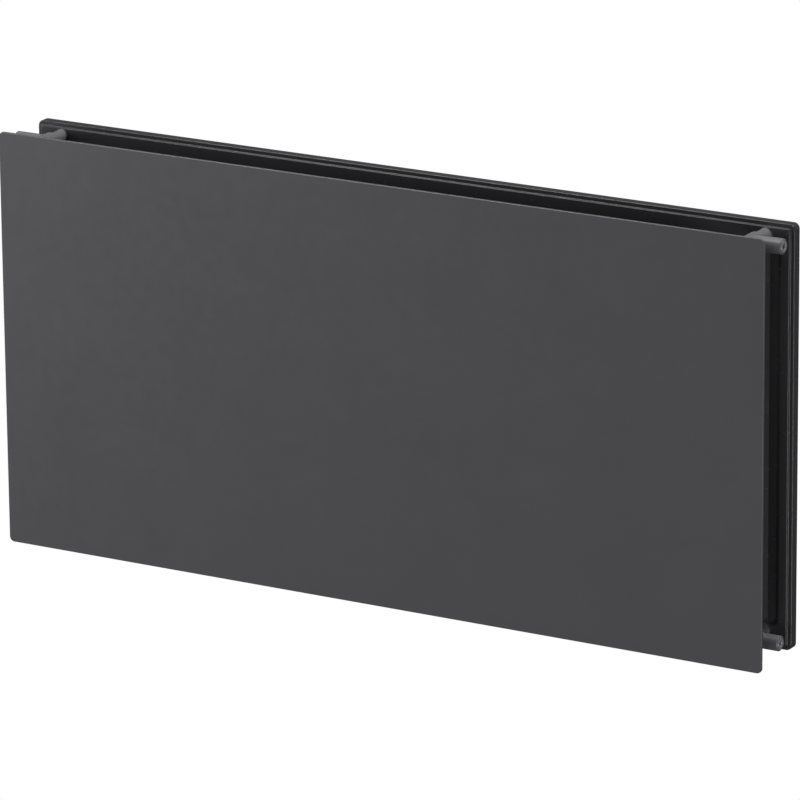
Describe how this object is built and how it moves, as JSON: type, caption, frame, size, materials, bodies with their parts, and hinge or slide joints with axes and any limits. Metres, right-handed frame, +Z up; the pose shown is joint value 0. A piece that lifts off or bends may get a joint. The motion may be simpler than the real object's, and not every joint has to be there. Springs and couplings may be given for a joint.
{
  "type": "panel radiator",
  "caption": "Steel hot-water panel radiator: a plain face plate over two water panels joined by corner tees, with a bleed valve, a blanking plug, open pipe sockets and wall lugs.",
  "frame": {"origin": "on the rear plane of the four hanging lugs, in the middle of their pattern, which is also the middle of the face plate's width and height", "axes": "+X along the length, to the right as seen from the room; +Y from the room towards the wall; +Z up"},
  "size_m": [1.206, 0.113, 0.6],
  "materials": {
    "face_paint": "satin anthracite powder coat on a plain steel plate",
    "panel_paint": "thin dark anthracite coat on pressed steel",
    "tee_paint": "glossier, lighter grey coat on steel tube",
    "plug": "satin nickel plate on brass",
    "bleed_screw": "dull turned brass",
    "rubber": "black sealing rubber"
  },
  "bodies": {
    "radiator": {"face_plate": "face_paint", "front_panel_face_sheet": "panel_paint", "front_panel_gap_sheet": "panel_paint", "rear_panel_gap_sheet": "panel_paint", "rear_panel_wall_sheet": "panel_paint", "tee_body_top_left": "tee_paint", "tee_body_top_right": "tee_paint", "tee_body_bottom_left": "tee_paint", "tee_body_bottom_right": "tee_paint", "front_link_tube_top_left": "tee_paint", "front_link_tube_top_right": "tee_paint", "front_link_tube_bottom_left": "tee_paint", "front_link_tube_bottom_right": "tee_paint", "rear_link_tube_top_left": "tee_paint", "rear_link_tube_top_right": "tee_paint", "rear_link_tube_bottom_left": "tee_paint", "rear_link_tube_bottom_right": "tee_paint", "outlet_tube_top_left": "tee_paint", "outlet_tube_top_right": "tee_paint", "outlet_tube_bottom_left": "tee_paint", "outlet_tube_bottom_right": "tee_paint", "hanging_lug_top_left": "panel_paint", "hanging_lug_top_right": "panel_paint", "hanging_lug_bottom_left": "panel_paint", "hanging_lug_bottom_right": "panel_paint", "blanking_plug_bottom_right": "plug", "vent_plug_top_right": "plug", "plug_seal_bottom_right": "rubber", "vent_seal_top_right": "rubber"},
    "bleed_seal": {"bleed_seal_tip": "rubber"},
    "bleed_screw": {"bleed_screw": "bleed_screw"}
  },
  "joints": [
    {"name": "bleed_travel", "type": "slide", "parent": "radiator", "child": "bleed_seal", "axis": [1, 0, 0], "range_m": [0, 0.0012]},
    {"name": "bleed_turn", "type": "hinge", "parent": "bleed_seal", "child": "bleed_screw", "pos_m": [0.6, -0.062, 0.2785], "axis": [1, 0, 0], "range_deg": [0, 541]}
  ],
  "couplings": [
    {"joint": "bleed_turn", "follows": "bleed_travel", "rad_per_m": 7854}
  ]
}
